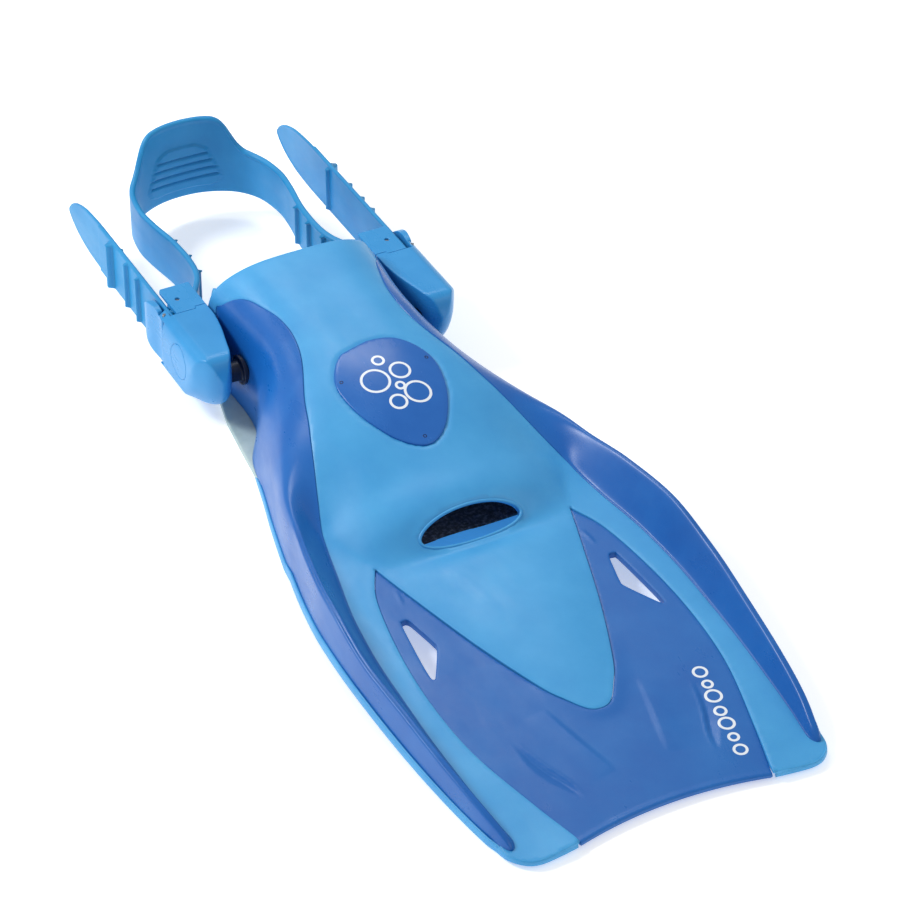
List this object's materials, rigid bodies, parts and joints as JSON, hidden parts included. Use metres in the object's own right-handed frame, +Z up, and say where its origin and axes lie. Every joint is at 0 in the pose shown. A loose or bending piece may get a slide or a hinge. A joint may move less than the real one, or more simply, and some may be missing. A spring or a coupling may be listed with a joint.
{
  "type": "open-heel swim fin",
  "caption": "Open-heel swim fin with a rubber foot pocket, a vented blade between raised side rails, and an adjustable heel strap on two swivelling buckles.",
  "frame": {"origin": "on the sole plate's lower face, under the middle of the fin's length", "axes": "+Y from the blade's tip to the heel, +X towards the wearer's side named right, +Z up, away from the sole"},
  "size_m": [0.2202, 0.641, 0.0791],
  "materials": {
    "light_blue_rubber": "satin, faintly mottled",
    "dark_blue_plastic": "glossy with soft highlights",
    "buckle_blue_plastic": "glossy moulded",
    "strap_blue_rubber": "satin",
    "sole_grey_rubber": "matt",
    "footbed_black_rubber": "matt, speckled",
    "badge_blue_plastic": "glossy moulded",
    "badge_pin_plastic": "glossy",
    "steel_pin": "turned"
  },
  "bodies": {
    "fin": {"foot_pocket": "light_blue_rubber", "blade_panel": "dark_blue_plastic", "footbed": "footbed_black_rubber", "sole_plate": "sole_grey_rubber", "instep_badge": "badge_blue_plastic", "badge_pins": "badge_pin_plastic", "left_flex_band": "light_blue_rubber", "left_rail_trim": "light_blue_rubber", "left_side_panel": "dark_blue_plastic", "left_side_rail": "dark_blue_plastic", "left_swivel_post": "dark_blue_plastic", "right_flex_band": "light_blue_rubber", "right_rail_trim": "light_blue_rubber", "right_side_panel": "dark_blue_plastic", "right_side_rail": "dark_blue_plastic", "right_swivel_post": "dark_blue_plastic"},
    "left_buckle": {"left_buckle_arm": "buckle_blue_plastic", "left_buckle_frame": "buckle_blue_plastic", "left_roller_pin": "steel_pin", "left_strap_bend": "strap_blue_rubber", "left_lever_pin": "steel_pin"},
    "left_roller": {"left_strap_roller": "buckle_blue_plastic"},
    "left_lever": {"left_ratchet_lever": "buckle_blue_plastic"},
    "left_button": {"left_release_button": "buckle_blue_plastic"},
    "left_tail": {"left_strap_tail": "strap_blue_rubber"},
    "right_buckle": {"right_buckle_arm": "buckle_blue_plastic", "right_buckle_frame": "buckle_blue_plastic", "right_roller_pin": "steel_pin", "right_strap_bend": "strap_blue_rubber", "right_lever_pin": "steel_pin"},
    "right_roller": {"right_strap_roller": "buckle_blue_plastic"},
    "right_lever": {"right_ratchet_lever": "buckle_blue_plastic"},
    "right_button": {"right_release_button": "buckle_blue_plastic"},
    "right_tail": {"right_strap_tail": "strap_blue_rubber"},
    "heel_loop": {"heel_strap": "strap_blue_rubber"}
  },
  "joints": [
    {"name": "left_buckle_swivel", "type": "hinge", "parent": "fin", "child": "left_buckle", "pos_m": [-0.06, 0.0955, 0.032], "axis": [1, 0, 0], "range_deg": [-3, 55]},
    {"name": "left_roller_turn", "type": "hinge", "parent": "left_buckle", "child": "left_roller", "pos_m": [-0.068, 0.1501, 0.032], "axis": [0, 0, 1], "range_deg": [-72, 72]},
    {"name": "left_lever_swing", "type": "hinge", "parent": "left_buckle", "child": "left_lever", "pos_m": [-0.0805, 0.141, 0.032], "axis": [0, 0, 1], "range_deg": [0, 20], "stiffness_Nm_per_rad": 0.05, "springref_deg": -11.46},
    {"name": "left_release_button_press", "type": "slide", "parent": "left_buckle", "child": "left_button", "axis": [1, 0, 0], "range_m": [0, 0.0018], "stiffness_N_per_m": 500, "springref_m": -0.002},
    {"name": "left_tail_slide", "type": "slide", "parent": "left_buckle", "child": "left_tail", "axis": [0, 1, 0], "range_m": [-0.008, 0.008]},
    {"name": "right_buckle_swivel", "type": "hinge", "parent": "fin", "child": "right_buckle", "pos_m": [0.06, 0.0955, 0.032], "axis": [1, 0, 0], "range_deg": [-3, 55]},
    {"name": "right_roller_turn", "type": "hinge", "parent": "right_buckle", "child": "right_roller", "pos_m": [0.068, 0.1501, 0.032], "axis": [0, 0, 1], "range_deg": [-72, 72]},
    {"name": "right_lever_swing", "type": "hinge", "parent": "right_buckle", "child": "right_lever", "pos_m": [0.0805, 0.141, 0.032], "axis": [0, 0, -1], "range_deg": [0, 20], "stiffness_Nm_per_rad": 0.05, "springref_deg": -11.46},
    {"name": "right_release_button_press", "type": "slide", "parent": "right_buckle", "child": "right_button", "axis": [-1, 0, 0], "range_m": [0, 0.0018], "stiffness_N_per_m": 500, "springref_m": -0.002},
    {"name": "right_tail_slide", "type": "slide", "parent": "right_buckle", "child": "right_tail", "axis": [0, 1, 0], "range_m": [-0.008, 0.008]},
    {"name": "strap_adjust", "type": "slide", "parent": "left_buckle", "child": "heel_loop", "axis": [0, 1, 0], "range_m": [-0.008, 0.008]}
  ],
  "couplings": [
    {"joint": "right_buckle_swivel", "follows": "left_buckle_swivel", "ratio": 1},
    {"joint": "left_tail_slide", "follows": "strap_adjust", "ratio": -1},
    {"joint": "right_tail_slide", "follows": "strap_adjust", "ratio": -1},
    {"joint": "left_roller_turn", "follows": "strap_adjust", "rad_per_m": 153.85},
    {"joint": "right_roller_turn", "follows": "strap_adjust", "rad_per_m": -153.85}
  ]
}
